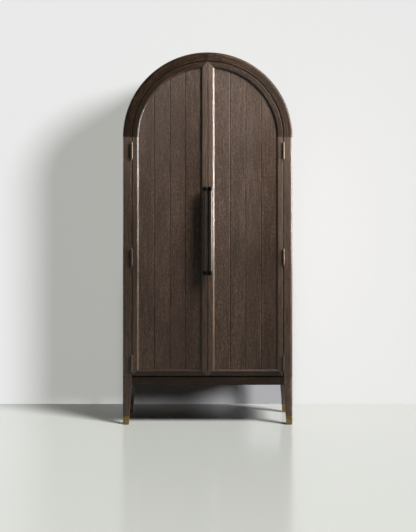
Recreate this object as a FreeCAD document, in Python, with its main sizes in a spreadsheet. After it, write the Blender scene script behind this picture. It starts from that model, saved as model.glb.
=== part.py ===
import FreeCAD, Part
import os
import re

import Sketcher

# Tall arched cabinet with two inset framed doors, on a tapered-leg base with brass foot caps.
# The origin is on the floor under the middle of the whole object, pulls included. +X is to the
# viewer's right, +Y runs from the doors to the back and +Z is up. All lengths are millimetres.
# Every left-hand piece is built in place, and its right-hand twin is its mirror image.

# Driving dimensions: alias and value, one spreadsheet row each.
DRIVING_SIZES = [
    # case
    ("case_width", 1016),
    ("case_depth", 457),
    ("spring_height", 1721),
    ("panel_wall", 22),
    ("corner_round", 14),
    ("back_corner_round", 3),
    ("arris", 2.5),
    ("small_arris", 1),
    ("fit", 0.15),
    ("overrun", 5),
    # face frame round the door opening
    ("face_frame_width", 53),
    ("face_frame_thickness", 22),
    # back panel in its rabbet
    ("rabbet_width", 12),
    ("back_panel_thickness", 9),
    ("back_panel_inset", 2),
    ("back_panel_gap", 0.5),
    # base: legs, aprons, foot caps and glides
    ("base_height", 284),
    ("apron_height", 46.5),
    ("apron_thickness", 32),
    ("apron_inset", 2),
    ("leg_top_width", 53),
    ("leg_foot_width", 36),
    ("tenon_length", 20),
    ("tenon_thickness", 12),
    ("tenon_shoulder", 10),
    ("cap_height", 48),
    ("cap_wall", 1.5),
    ("glide_thickness", 2),
    ("glide_radius", 13),
    # floor and shelves
    ("floor_thickness", 20),
    ("shelf_thickness", 20),
    ("shelf_side_gap", 1),
    ("shelf_setback", 6),
    ("top_shelf_drop", 2),
    ("shelf_edge_round", 3),
    ("pin_radius", 2.5),
    ("pin_head_radius", 3.5),
    ("pin_head_length", 8),
    ("pin_depth", 8),
    ("pin_hole_spare", 2),
    ("pin_row_inset", 40),
    ("pin_hole_pitch", 32),
    # doors
    ("door_gap", 3),
    ("meeting_gap", 2),
    ("meeting_back_bevel", 4),
    ("door_foot_gap", 6.5),
    ("door_thickness", 28),
    ("door_frame_width", 40),
    ("bevel_width", 10),
    ("bevel_depth", 8),
    ("panel_recess", 11),
    ("board_thickness", 12),
    ("board_play", 0.3),
    ("groove_depth", 10),
    ("board_engagement", 9),
    ("board_gap", 0.3),
    ("board_bevel", 3),
    ("tongue_thickness", 4),
    ("tongue_length", 6),
    # hinges
    ("hinge_height", 95),
    ("hinge_low_rise", 83),
    ("hinge_high_drop", 83),
    ("barrel_radius", 5.5),
    ("barrel_stand_off", 0.5),
    ("hinge_pin_radius", 2.5),
    ("hinge_pin_play", 0.05),
    ("hinge_pin_tip_radius", 4.5),
    ("hinge_pin_tip_height", 2.5),
    ("knuckle_play", 0.3),
    ("leaf_thickness", 2.5),
    ("leaf_depth", 20),
    ("leaf_play", 0.4),
    ("mortise_play", 0.1),
    ("screw_spread", 32),
    ("screw_radius", 1.6),
    ("screw_head_radius", 3.6),
    ("screw_head_depth", 2),
    ("screw_length", 16),
    ("screw_play", 0.1),
    # pulls
    ("pull_length", 524),
    ("pull_centre_height", 1160),
    ("pull_inset", 14.5),
    ("pull_bar_radius", 12.5),
    ("pull_stand_off", 37.5),
    ("pull_collar_radius", 13.5),
    ("pull_collar_height", 24),
    ("pull_collar_cap", 3),
    ("pull_post_radius", 5),
    ("rosette_radius", 10),
    ("rosette_thickness", 3),
    ("pull_stud_radius", 2.5),
    ("pull_nut_radius", 5),
    ("pull_nut_height", 4.5),
    ("pull_nut_cap", 1.5),
    ("pull_fit", 0.05),
    # door stops, magnets and strike plates
    ("stop_width", 100),
    ("stop_thickness", 22),
    ("stop_drop", 71),
    ("stop_fit", 0.2),
    ("magnet_radius", 5),
    ("magnet_depth", 10),
    ("strike_width", 22),
    ("strike_height", 11),
    ("strike_thickness", 1.5),
    ("catch_gap", 0.3),
    ("crown_strike_drop", 27),
    # rail that takes the wall anchor screws
    ("anchor_rail_height", 60),
    ("anchor_rail_thickness", 18),
    ("anchor_rail_drop", 9),
    ("anchor_hole_radius", 3),
    ("anchor_hole_spacing", 400),
]
BOARDS_PER_DOOR = 4
SHELF_COUNT = 4
HOLES_PER_SHELF = 3
KNUCKLES = 5
QUARTER_TURN = 90
HALF_TURN = 180

doc = FreeCAD.newDocument("ArchedCabinet")
sheet = doc.addObject("Spreadsheet::Sheet", "Sizes")
for row, (alias, size) in enumerate(DRIVING_SIZES, start=1):
    sheet.set(f"A{row}", str(size))
    sheet.setAlias(f"A{row}", alias)
doc.recompute()

ALIAS_WORDS = re.compile(r"\b(" + "|".join(alias for alias, size in DRIVING_SIZES) + r")\b")
nodes = {}


# Formulas of the places that several pieces share.
half_width = "(case_width / 2)"
pull_reach = "(pull_stand_off + pull_collar_radius)"
front = f"(({pull_reach} - case_depth) / 2)"
back = f"({front} + case_depth)"
opening_radius = f"({half_width} - face_frame_width)"
door_radius = f"({opening_radius} - door_gap)"
centre_gap = "(meeting_gap / 2)"
inner_radius = f"({half_width} - panel_wall)"
rabbet_radius = f"({inner_radius} + rabbet_width)"
case_front = f"({front} + face_frame_thickness)"
back_panel_back = f"({back} - back_panel_inset)"
back_panel_front = f"({back_panel_back} - back_panel_thickness)"
apron_foot = "(base_height - apron_height)"
floor_top = "(base_height + floor_thickness)"
door_foot = "(base_height + door_foot_gap)"
door_back = f"({front} + door_thickness)"
catch_plane = f"({door_back} + strike_thickness + catch_gap)"
shelf_front = f"({door_back} + shelf_setback)"
cap_top = "(glide_thickness + cap_height)"


def bound(formula):
    """The formula with each alias written as a cell of the size sheet."""
    return ALIAS_WORDS.sub(r"Sizes.\1", formula)


def value(formula):
    """The number that the formula gives with the present sizes."""
    return float(sheet.evalExpression(bound(formula)))


def bind(thing, **formulas):
    """Ties properties of a document object to formulas; a double underscore stands for a dot."""
    for name, formula in formulas.items():
        thing.setExpression(name.replace("__", "."), bound(formula))
    return thing


def new_body(name):
    return doc.addObject("PartDesign::Body", name)


def place_sketch(body, plane, level, lift="0"):
    """An empty sketch on one of the body's own origin planes, moved along its normal by level."""
    sketch = body.newObject("Sketcher::SketchObject", body.Name + "Sketch")
    support = next(o for o in body.Origin.OriginFeatures if o.Role == plane + "_Plane")
    sketch.AttachmentSupport = [(support, "")]
    sketch.MapMode = "FlatFace"
    bind(sketch, AttachmentOffset__Base__z=level, AttachmentOffset__Base__y=lift)
    return sketch


def draw_outline(sketch, corners):
    """A closed outline of straight lines whose corners stay at the given pairs of formulas."""
    places = [FreeCAD.Vector(value(u), value(v), 0) for u, v in corners]
    following = places[1:] + places[:1]
    sketch.addGeometry([Part.LineSegment(a, b) for a, b in zip(places, following)], False)
    count = len(corners)
    for number in range(count):
        link = Sketcher.Constraint("Coincident", number, 2, (number + 1) % count, 1)
        sketch.addConstraint(link)
    for number, (u, v) in enumerate(corners):
        for direction, formula, length in (
            ("DistanceX", u, places[number].x),
            ("DistanceY", v, places[number].y),
        ):
            place = sketch.addConstraint(Sketcher.Constraint(direction, number, 1, length))
            sketch.setExpression(f"Constraints[{place}]", bound(formula))


def draw_circles(sketch, circles):
    """Circles whose centres and radius stay at the given formulas."""
    for number, (u, v, radius) in enumerate(circles):
        centre = FreeCAD.Vector(value(u), value(v), 0)
        upward = FreeCAD.Vector(0, 0, 1)
        sketch.addGeometry(Part.Circle(centre, upward, value(radius)), False)
        for constraint, formula in (
            (Sketcher.Constraint("DistanceX", number, 3, centre.x), u),
            (Sketcher.Constraint("DistanceY", number, 3, centre.y), v),
            (Sketcher.Constraint("Radius", number, value(radius)), radius),
        ):
            place = sketch.addConstraint(constraint)
            sketch.setExpression(f"Constraints[{place}]", bound(formula))


def prism(body, kind, plane, low, high, corners=None, circles=None):
    """A pad or pocket between two places along the plane's axis: Z for XY, Y for XZ, X for YZ."""
    level = f"-({high})" if plane == "XZ" else low
    sketch = place_sketch(body, plane, level)
    if corners:
        draw_outline(sketch, corners)
    else:
        draw_circles(sketch, circles)
    feature = body.newObject("PartDesign::" + kind, body.Name + kind)
    feature.Profile = sketch
    feature.Reversed = kind == "Pocket"
    bind(feature, Length=f"({high}) - ({low})")
    body.Tip = feature
    return feature


def pad(body, plane, low, high, corners=None, circles=None):
    return prism(body, "Pad", plane, low, high, corners, circles)


def pocket(body, plane, low, high, corners=None, circles=None):
    doc.recompute()
    return prism(body, "Pocket", plane, low, high, corners, circles)


def rectangle(left, right, low, high):
    return [(left, low), (right, low), (right, high), (left, high)]


def revolve_about_spring(body, corners, turn, midplane=False):
    """Turns a section, given as Y and radius, about the arch's axis, from the crown to the left."""
    sketch = place_sketch(body, "YZ", "0", lift="spring_height")
    draw_outline(sketch, corners)
    feature = body.newObject("PartDesign::Revolution", body.Name + "Revolution")
    feature.Profile = sketch
    feature.ReferenceAxis = (sketch, ["H_Axis"])
    feature.Angle = turn
    feature.Midplane = midplane
    feature.Reversed = not midplane
    body.Tip = feature
    return feature


def distance_from(kind, where, point):
    """How far a point is from a place: an x, y or z, a radius round the spring, or a line."""
    if kind == "radius":
        return abs((point.x**2 + (point.z - value("spring_height")) ** 2) ** 0.5 - value(where))
    if kind == "line":
        start, end = (FreeCAD.Vector(value(x), 0, value(z)) for x, z in where)
        flat = FreeCAD.Vector(point.x, 0, point.z)
        return flat.distanceToLine(start, end - start)
    return abs(getattr(point, kind) - value(where))


def edges_at(shape, **places):
    """Names of the edges that lie at all the given places from end to end."""
    near = 0.01
    found = []
    for number, edge in enumerate(shape.Edges, start=1):
        points = edge.discretize(3)
        if all(distance_from(kind, w, p) < near for kind, w in places.items() for p in points):
            found.append(f"Edge{number}")
    if not found:
        raise ValueError(f"no edge lies at {places}")
    return found


def dress(body, kind, size, *edge_places):
    """A fillet or chamfer of the body's last feature on the edges at the given places."""
    doc.recompute()
    base = body.Tip
    names = sorted({name for places in edge_places for name in edges_at(base.Shape, **places)})
    feature = body.newObject("PartDesign::" + kind, body.Name + kind)
    feature.Base = (base, names)
    bind(feature, **{"Radius" if kind == "Fillet" else "Size": size})
    body.Tip = feature
    return feature


def ease_joints(body, *heights):
    """Takes the sharp front edge off a member's square ends, so that its joints show as lines."""
    dress(body, "Chamfer", "small_arris", *({"y": front, "z": height} for height in heights))


def box(name, x, y, z):
    """A box between pairs of formulas along each axis."""
    block = doc.addObject("Part::Box", name)
    bind(
        block,
        Placement__Base__x=x[0],
        Placement__Base__y=y[0],
        Placement__Base__z=z[0],
        Length=f"({x[1]}) - ({x[0]})",
        Width=f"({y[1]}) - ({y[0]})",
        Height=f"({z[1]}) - ({z[0]})",
    )
    return block


def rod(name, kind, start, height, axis="Z", **radii):
    """A cylinder or cone from a point along +X, +Y or +Z, with its radii tied to formulas."""
    bar = doc.addObject("Part::" + kind, name)
    turns = {
        "X": FreeCAD.Rotation(FreeCAD.Vector(0, 1, 0), QUARTER_TURN),
        "Y": FreeCAD.Rotation(FreeCAD.Vector(1, 0, 0), -QUARTER_TURN),
        "Z": FreeCAD.Rotation(),
    }
    bar.Placement = FreeCAD.Placement(FreeCAD.Vector(), turns[axis])
    bind(
        bar,
        Placement__Base__x=start[0],
        Placement__Base__y=start[1],
        Placement__Base__z=start[2],
        Height=height,
        **radii,
    )
    return bar


def cut(name, base, tool):
    result = doc.addObject("Part::Cut", name)
    result.Base = base
    result.Tool = tool
    return result


def common(name, base, tool):
    result = doc.addObject("Part::Common", name)
    result.Base = base
    result.Tool = tool
    return result


def fuse(name, *pieces):
    result = doc.addObject("Part::MultiFuse", name)
    result.Shapes = list(pieces)
    result.Refine = True
    return result


def group(name, pieces):
    result = doc.addObject("Part::Compound", name)
    result.Links = list(pieces)
    return result


def mirror(name, source):
    """The same piece on the other side of the cabinet."""
    result = doc.addObject("Part::Mirroring", name)
    result.Source = source
    result.Normal = FreeCAD.Vector(1, 0, 0)
    return result


def keep(name, piece):
    """Records a finished sub-part under the name of its node."""
    piece.Label = name
    nodes[name] = piece
    return piece


def keep_both_sides(name, piece):
    """Keeps a left-hand piece and its mirror image; name holds the word left."""
    keep(name, piece)
    keep(name.replace("left", "right"), mirror(piece.Name + "Mirror", piece))


# Legs. Each tapers on its two inner faces below the apron and ends in a tenon for its foot cap.
leg_outside = f"(-{half_width})"


def leg_blank(name, end, inset, with_mortises=False):
    """A full-length tapered leg at the front or back, with its faces moved in by inset."""
    body = new_body(name)
    outer = front if end == "front" else back
    inward = "+" if end == "front" else "-"
    outward = "-" if end == "front" else "+"
    face = f"({outer} {inward} {inset})"
    top_inner_x = f"({leg_outside} + leg_top_width - {inset})"
    foot_inner_x = f"({leg_outside} + leg_foot_width - {inset})"
    top_inner_y = f"({outer} {inward} (leg_top_width - {inset}))"
    foot_inner_y = f"({outer} {inward} (leg_foot_width - {inset}))"
    clear_y = f"({top_inner_y} {inward} overrun)"
    low_y, high_y = (face, top_inner_y) if end == "front" else (top_inner_y, face)
    outline = [
        (f"{leg_outside} + {inset}", "glide_thickness"),
        (foot_inner_x, "glide_thickness"),
        (top_inner_x, apron_foot),
        (top_inner_x, "base_height"),
        (f"{leg_outside} + {inset}", "base_height"),
    ]
    pad(body, "XZ", low_y, high_y, outline)
    taper = [
        (foot_inner_y, "glide_thickness"),
        (top_inner_y, apron_foot),
        (clear_y, apron_foot),
        (clear_y, "glide_thickness"),
    ]
    pocket(body, "YZ", f"{leg_outside} - overrun", f"{top_inner_x} + overrun", taper)
    corner = "corner_round" if end == "front" else "back_corner_round"
    dress(body, "Fillet", f"{corner} - {inset}", {"x": f"{leg_outside} + {inset}", "y": face})
    taper_edge = ((foot_inner_x, "glide_thickness"), (top_inner_x, apron_foot))
    inner_edges = ({"y": face, "x": top_inner_x}, {"y": face, "line": taper_edge})
    dress(body, "Chamfer", "small_arris", *inner_edges)
    if with_mortises:
        cut_mortises(body, outer, inward, outward)
    if with_mortises and end == "front":
        ease_joints(body, "base_height")
    return body


def cut_mortises(body, outer, inward, outward):
    """Two blind mortises in the leg's top: one for the front or back apron, one for the side."""
    apron_middle = "(apron_inset + apron_thickness / 2)"
    half_tenon = "(tenon_thickness / 2 + fit)"
    low_z = f"({apron_foot} + tenon_shoulder - fit)"
    high_z = "(base_height - tenon_shoulder + fit)"
    inner_x = f"({leg_outside} + leg_top_width)"
    inner_y = f"({outer} {inward} leg_top_width)"
    depth = "(tenon_length + fit)"
    long_apron = f"({outer} {inward} {apron_middle})"
    side_apron = f"({leg_outside} + {apron_middle})"
    pocket(
        body,
        "XY",
        low_z,
        high_z,
        rectangle(
            f"{inner_x} - {depth}",
            f"{inner_x} + overrun",
            f"{long_apron} - {half_tenon}",
            f"{long_apron} + {half_tenon}",
        ),
    )
    pocket(
        body,
        "XY",
        low_z,
        high_z,
        rectangle(
            f"{side_apron} - {half_tenon}",
            f"{side_apron} + {half_tenon}",
            f"{inner_y} {outward} {depth}",
            f"{inner_y} {inward} overrun",
        ),
    )


def leg_and_cap(end):
    """One left leg with its foot cap: the leg's end is thinned so that the cap sits flush."""
    title = end.capitalize()
    whole = leg_blank(f"{title}LegBlank", end, "0", with_mortises=True)
    cap_outside = leg_blank(f"{title}CapOutside", end, "0")
    cap_inside = leg_blank(f"{title}CapInside", end, "cap_wall")
    foot_tenon = leg_blank(f"{title}FootTenon", end, "(cap_wall + fit)")
    across = (f"{leg_outside} - overrun", f"{leg_outside} + leg_top_width + overrun")
    outer = front if end == "front" else back
    along = (f"{outer} - leg_top_width - overrun", f"{outer} + leg_top_width + overrun")
    cap_floor = "(glide_thickness + cap_wall)"
    cap_zone = box(f"{title}CapZone", across, along, ("0", cap_top))
    hollow_zone = box(f"{title}HollowZone", across, along, (cap_floor, "base_height"))
    tenon_zone = box(f"{title}TenonZone", across, along, (f"{cap_floor} + fit", cap_top))
    shaft = cut(f"{title}LegShaft", whole, cap_zone)
    tenon = common(f"{title}LegTenon", foot_tenon, tenon_zone)
    leg = fuse(f"{title}Leg", shaft, tenon)
    shell = common(f"{title}CapShell", cap_outside, cap_zone)
    hollow = common(f"{title}CapHollow", cap_inside, hollow_zone)
    cap = cut(f"{title}Cap", shell, hollow)
    keep_both_sides(f"{end}_left_leg", leg)
    keep_both_sides(f"{end}_left_foot_cap", cap)


leg_and_cap("front")
leg_and_cap("back")


# Glides under the four caps.
def glide(name, outer, inward):
    middle = "(leg_foot_width / 2)"
    centre = (f"{leg_outside} + {middle}", f"{outer} {inward} {middle}", "0")
    return rod(name, "Cylinder", centre, "glide_thickness", Radius="glide_radius")


left_glides = group("LeftGlides", [glide("FrontGlide", front, "+"), glide("BackGlide", back, "-")])
keep("foot_glides", group("Glides", [left_glides, mirror("RightGlides", left_glides)]))


# Aprons, each a rail with a stub tenon at both ends.
def apron(name, plane, low, high, face, inward):
    """A rail between two legs; its outer face is set back from the leg's face."""
    body = new_body(name)
    outer_face = f"({face} {inward} apron_inset)"
    inner_face = f"({outer_face} {inward} apron_thickness)"
    middle = f"({outer_face} {inward} apron_thickness / 2)"
    pad(body, plane, low, high, rectangle(outer_face, inner_face, apron_foot, "base_height"))
    tenon = rectangle(
        f"{middle} - tenon_thickness / 2",
        f"{middle} + tenon_thickness / 2",
        f"{apron_foot} + tenon_shoulder",
        "base_height - tenon_shoulder",
    )
    pad(body, plane, f"({low}) - tenon_length", f"({high}) + tenon_length", tenon)
    return body


leg_inner_x = f"({half_width} - leg_top_width)"
front_apron = apron("FrontApron", "YZ", f"-{leg_inner_x}", leg_inner_x, front, "+")
dress(front_apron, "Chamfer", "arris", {"y": f"{front} + apron_inset", "z": apron_foot})
keep("front_apron", front_apron)
keep("back_apron", apron("BackApron", "YZ", f"-{leg_inner_x}", leg_inner_x, back, "-"))
side_apron = apron(
    "SideApron", "XZ", f"{front} + leg_top_width", f"{back} - leg_top_width", leg_outside, "+"
)
keep_both_sides("left_apron", side_apron)


# Case sides, standing on the base, with rows of shelf pin holes and a rabbet for the back.
def case_section(inner, rabbet, outer):
    """The wall's section as pairs: distance from the middle, and depth from front to back."""
    return [
        (outer, case_front),
        (inner, case_front),
        (inner, back_panel_front),
        (rabbet, back_panel_front),
        (rabbet, back),
        (outer, back),
    ]


def shelf_underside(number):
    """The shelves share the height between the floor and the place where the arch springs."""
    top_shelf = "spring_height - top_shelf_drop - shelf_thickness"
    return f"({floor_top} + {number} * ({top_shelf} - {floor_top}) / {SHELF_COUNT})"


pin_rows = (f"({shelf_front} + pin_row_inset)", f"({back_panel_front} - pin_row_inset)")
side_panel = new_body("SidePanel")
side_section = case_section(f"-{inner_radius}", f"-{rabbet_radius}", leg_outside)
pad(side_panel, "XY", "base_height", "spring_height", side_section)
dress(side_panel, "Fillet", "back_corner_round", {"x": leg_outside, "y": back})
upright = next(o for o in side_panel.Origin.OriginFeatures if o.Role == "Z_Axis")
for number in range(1, SHELF_COUNT + 1):
    lowest = f"{shelf_underside(number)} - pin_head_radius - pin_hole_pitch * {HOLES_PER_SHELF - 1}"
    holes = pocket(
        side_panel,
        "YZ",
        f"-{inner_radius} - pin_depth - pin_hole_spare",
        f"-{inner_radius} + overrun",
        circles=[(row, lowest, "pin_radius + fit") for row in pin_rows],
    )
    pattern = side_panel.newObject("PartDesign::LinearPattern", "PinHoleRows")
    pattern.Originals = [holes]
    pattern.Direction = (upright, [""])
    pattern.Occurrences = HOLES_PER_SHELF
    bind(pattern, Length=f"pin_hole_pitch * {HOLES_PER_SHELF - 1}")
    side_panel.Tip = pattern
keep_both_sides("left_side_panel", side_panel)

# Arched top: the same section turned through half a circle.
arched_top = new_body("ArchedTop")
arch_section = [(y, r) for r, y in case_section(inner_radius, rabbet_radius, half_width)]
revolve_about_spring(arched_top, arch_section, HALF_TURN, midplane=True)
dress(arched_top, "Fillet", "back_corner_round", {"radius": half_width, "y": back})
keep("arched_top", arched_top)

# Floor of the case, whose front edge also stops the doors; its front takes two magnets.
floor_board = box(
    "FloorBoard",
    (f"-{inner_radius}", inner_radius),
    (catch_plane, back_panel_front),
    ("base_height", floor_top),
)
magnet_x = f"({centre_gap} + door_frame_width / 2)"
floor_magnet_z = f"({door_foot} + strike_height / 2 + small_arris)"
crown_magnet_z = f"(spring_height + {door_radius} - crown_strike_drop)"


def magnet(name, height, play="0"):
    """A magnet, or with play the hole it sits in, behind the left door's meeting stile."""
    start = (f"-{magnet_x}", catch_plane, height)
    length = f"magnet_depth + {play}"
    return rod(name, "Cylinder", start, length, axis="Y", Radius=f"magnet_radius + {play}")


def both_sides(name, piece):
    return group(name, [piece, mirror(name + "Mirror", piece)])


floor_holes = both_sides("FloorMagnetHoles", magnet("FloorMagnetHole", floor_magnet_z, "fit"))
keep("case_floor", cut("CaseFloor", floor_board, floor_holes))

# Stop block under the crown, curved on top to the arched lining.
stop_block = box(
    "StopBlock",
    ("-stop_width / 2", "stop_width / 2"),
    (catch_plane, f"{catch_plane} + stop_thickness"),
    (f"spring_height + {inner_radius} - stop_drop", f"spring_height + {inner_radius}"),
)
lining = rod(
    "LiningSurface",
    "Cylinder",
    ("0", front, "spring_height"),
    "case_depth",
    axis="Y",
    Radius=f"{inner_radius} - stop_fit",
)
curved_block = common("CurvedStopBlock", stop_block, lining)
crown_holes = both_sides("CrownMagnetHoles", magnet("CrownMagnetHole", crown_magnet_z, "fit"))
keep("crown_door_stop", cut("CrownStop", curved_block, crown_holes))
left_magnets = group(
    "LeftMagnets",
    [magnet("FloorMagnet", floor_magnet_z), magnet("CrownMagnet", crown_magnet_z)],
)
keep("catch_magnets", both_sides("CatchMagnets", left_magnets))

# Face frame: two stiles and two quarter arches that meet at the crown.
hinge_low = "(base_height + hinge_low_rise)"
hinge_high = "(spring_height - hinge_high_drop)"
hinge_heights = (hinge_low, f"(({hinge_low} + {hinge_high}) / 2)", hinge_high)
hinge_axis_x = f"(-{opening_radius} + door_gap / 2)"
hinge_axis_y = f"({front} - barrel_radius - barrel_stand_off)"
half_hinge = "(hinge_height / 2)"
leaf_back = f"({front} + leaf_depth)"
screw_y = f"({front} + leaf_depth / 2)"
screw_heights = [f"({z} + {step} * screw_spread)" for z in hinge_heights for step in (-1, 0, 1)]
frame_leaf_x = (
    f"({hinge_axis_x} - leaf_play / 2 - leaf_thickness)",
    f"({hinge_axis_x} - leaf_play / 2)",
)
door_leaf_x = (
    f"({hinge_axis_x} + leaf_play / 2)",
    f"({hinge_axis_x} + leaf_play / 2 + leaf_thickness)",
)


def cut_hinge_seats(body, seat, pilot):
    """Mortises for three leaves in a stile's edge, and the pilot holes of their screws."""
    for height in hinge_heights:
        outline = rectangle(seat[0], seat[1], f"{front} - overrun", f"{leaf_back} + mortise_play")
        low_z = f"{height} - {half_hinge} - mortise_play"
        high_z = f"{height} + {half_hinge} + mortise_play"
        pocket(body, "XY", low_z, high_z, outline)
    pilots = [(screw_y, z, "screw_radius + screw_play") for z in screw_heights]
    pocket(body, "YZ", pilot[0], pilot[1], circles=pilots)


case_stile = new_body("CaseStile")
opening_edge = f"(-{opening_radius})"
stile_section = rectangle(leg_outside, opening_edge, front, case_front)
pad(case_stile, "XY", "base_height", "spring_height", stile_section)
dress(case_stile, "Fillet", "corner_round", {"x": leg_outside, "y": front})
dress(case_stile, "Chamfer", "arris", {"x": opening_edge, "y": front})
ease_joints(case_stile, "base_height", "spring_height")
cut_hinge_seats(
    case_stile,
    (f"{frame_leaf_x[0]} - mortise_play", f"{opening_edge} + overrun"),
    (f"{frame_leaf_x[1]} - screw_length - mortise_play", f"{frame_leaf_x[0]}"),
)
keep_both_sides("left_case_stile", case_stile)

case_arch = new_body("CaseArch")
ring_section = rectangle(front, case_front, opening_radius, half_width)
revolve_about_spring(case_arch, ring_section, QUARTER_TURN)
joint_edges = ({"y": front, "z": "spring_height"}, {"y": front, "x": "0"})
dress(case_arch, "Chamfer", "small_arris", *joint_edges)
dress(case_arch, "Fillet", "corner_round", {"radius": half_width, "y": front})
dress(case_arch, "Chamfer", "arris", {"radius": opening_radius, "y": front})
keep_both_sides("left_case_arch", case_arch)

# Back panel with an arched head, and the holes of the wall anchor screws.
anchor_z = f"({shelf_underside(SHELF_COUNT)} - anchor_rail_drop - anchor_rail_height / 2)"
panel_half_width = f"({rabbet_radius} - back_panel_gap)"
anchor_holes = [
    (f"{side} * anchor_hole_spacing / 2", anchor_z, "anchor_hole_radius") for side in (-1, 1)
]
back_panel = new_body("BackPanel")
panel_sides = rectangle(f"-{panel_half_width}", panel_half_width, "base_height", "spring_height")
pad(back_panel, "XZ", back_panel_front, back_panel_back, panel_sides)
head = [("0", "spring_height", panel_half_width)]
pad(back_panel, "XZ", back_panel_front, back_panel_back, circles=head)
pocket(
    back_panel,
    "XZ",
    f"{back_panel_front} - overrun",
    f"{back_panel_back} + overrun",
    circles=anchor_holes,
)
keep("back_panel", back_panel)

anchor_rail = new_body("AnchorRail")
anchor_front = f"({back_panel_front} - anchor_rail_thickness)"
pad(
    anchor_rail,
    "XZ",
    anchor_front,
    back_panel_front,
    rectangle(
        f"-{inner_radius}",
        inner_radius,
        f"{anchor_z} - anchor_rail_height / 2",
        f"{anchor_z} + anchor_rail_height / 2",
    ),
)
pocket(
    anchor_rail,
    "XZ",
    f"{anchor_front} - overrun",
    f"{back_panel_front} + overrun",
    circles=anchor_holes,
)
keep("wall_anchor_rail", anchor_rail)


# Shelves on turned pins, four pins to a shelf.
def shelf(number):
    body = new_body(f"Shelf{number}")
    under = shelf_underside(number)
    over = f"({under} + shelf_thickness)"
    half_length = f"({inner_radius} - shelf_side_gap)"
    section = rectangle(shelf_front, f"{back_panel_front} - shelf_side_gap", under, over)
    pad(body, "YZ", f"-{half_length}", half_length, section)
    front_edges = ({"y": shelf_front, "z": under}, {"y": shelf_front, "z": over})
    dress(body, "Fillet", "shelf_edge_round", *front_edges)
    return body


def shelf_pin(name, row, number):
    height = f"{shelf_underside(number)} - pin_head_radius"
    stem_start = (f"-{inner_radius} - pin_depth", row, height)
    stem = rod(name + "Stem", "Cylinder", stem_start, "pin_depth", "X", Radius="pin_radius")
    head_start = (f"-{inner_radius}", row, height)
    head = rod(name + "Head", "Cylinder", head_start, "pin_head_length", "X", Radius="pin_head_radius")
    return fuse(name, stem, head)


left_pins = []
for number in range(1, SHELF_COUNT + 1):
    keep(f"shelf_{number}", shelf(number))
    left_pins += [
        shelf_pin(f"Pin{number}{end}", row, number) for end, row in zip(("Front", "Back"), pin_rows)
    ]
keep("shelf_pins", both_sides("ShelfPins", group("LeftPins", left_pins)))


# Door frame members share one section: a bevel towards the panel and a groove that holds it.
def frame_section(outer, inward, back_bevel="small_arris"):
    """The member's section as pairs: place across the member from its outer edge, and depth.
    The back bevel takes the corner off the outer edge behind, where a swinging door needs room."""

    def across(distance):
        return f"({outer} {inward} ({distance}))"

    inner = "door_frame_width"
    groove_end = "door_frame_width - groove_depth"
    return [
        (across("0"), f"{front} + arris"),
        (across("arris"), front),
        (across(f"{inner} - bevel_width"), front),
        (across(inner), f"{front} + bevel_depth"),
        (across(inner), groove_front),
        (across(groove_end), groove_front),
        (across(groove_end), groove_back),
        (across(inner), groove_back),
        (across(inner), f"{door_back} - small_arris"),
        (across(f"{inner} - small_arris"), door_back),
        (across(back_bevel), door_back),
        (across("0"), f"{door_back} - {back_bevel}"),
    ]


groove_front = f"({front} + panel_recess)"
groove_back = f"({groove_front} + board_thickness + board_play)"
door_outside = f"(-{door_radius})"
door_inside = f"(-{centre_gap})"
panel_outside = f"({door_outside} + door_frame_width)"
panel_inside = f"({door_inside} - door_frame_width)"
panel_foot = f"({door_foot} + door_frame_width)"
panel_radius = f"({door_radius} - door_frame_width)"
crown_outer = (door_inside, f"(spring_height + sqrt({door_radius} ^ 2 - {door_inside} ^ 2))")
crown_inner = (panel_inside, f"(spring_height + sqrt({panel_radius} ^ 2 - {panel_inside} ^ 2))")
outer_foot_mitre = ((panel_outside, panel_foot), (door_outside, door_foot))
middle_foot_mitre = ((panel_inside, panel_foot), (door_inside, door_foot))
crown_mitre = (crown_inner, crown_outer)


def run_past(mitre):
    """A mitre's inner and outer ends, each carried on past its corner by the overrun's share."""
    over = "overrun / door_frame_width"
    inner, outer = mitre
    inner_end = tuple(f"({i} + ({i} - {o}) * {over})" for i, o in zip(inner, outer))
    outer_end = tuple(f"({o} + ({o} - {i}) * {over})" for i, o in zip(inner, outer))
    return inner_end, outer_end


def cut_mitre(body, mitre, waste_corners):
    """Cuts a member off along a mitre, on the side of the waste, and eases the cut's front edge."""
    inner_end, outer_end = run_past(mitre)
    waste = [inner_end, outer_end] + waste_corners(inner_end, outer_end)
    pocket(body, "XZ", f"{front} - overrun", f"{door_back} + overrun", waste)
    dress(body, "Chamfer", "small_arris", {"y": front, "line": mitre})


def waste_of_stile(inner_end, outer_end):
    return [(inner_end[0], outer_end[1])]


def waste_of_rail(inner_end, outer_end):
    return [(outer_end[0], inner_end[1])]


def waste_of_arch(inner_end, outer_end):
    return [("overrun", outer_end[1]), ("overrun", inner_end[1])]


hinge_stile = new_body("HingeStile")
pad(hinge_stile, "XY", door_foot, "spring_height", frame_section(door_outside, "+"))
ease_joints(hinge_stile, "spring_height")
cut_mitre(hinge_stile, outer_foot_mitre, waste_of_stile)
cut_hinge_seats(
    hinge_stile,
    (f"{door_outside} - overrun", f"{door_leaf_x[1]} + mortise_play"),
    (door_leaf_x[1], f"{door_leaf_x[0]} + screw_length + mortise_play"),
)
keep_both_sides("left_door_hinge_stile", hinge_stile)

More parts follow.
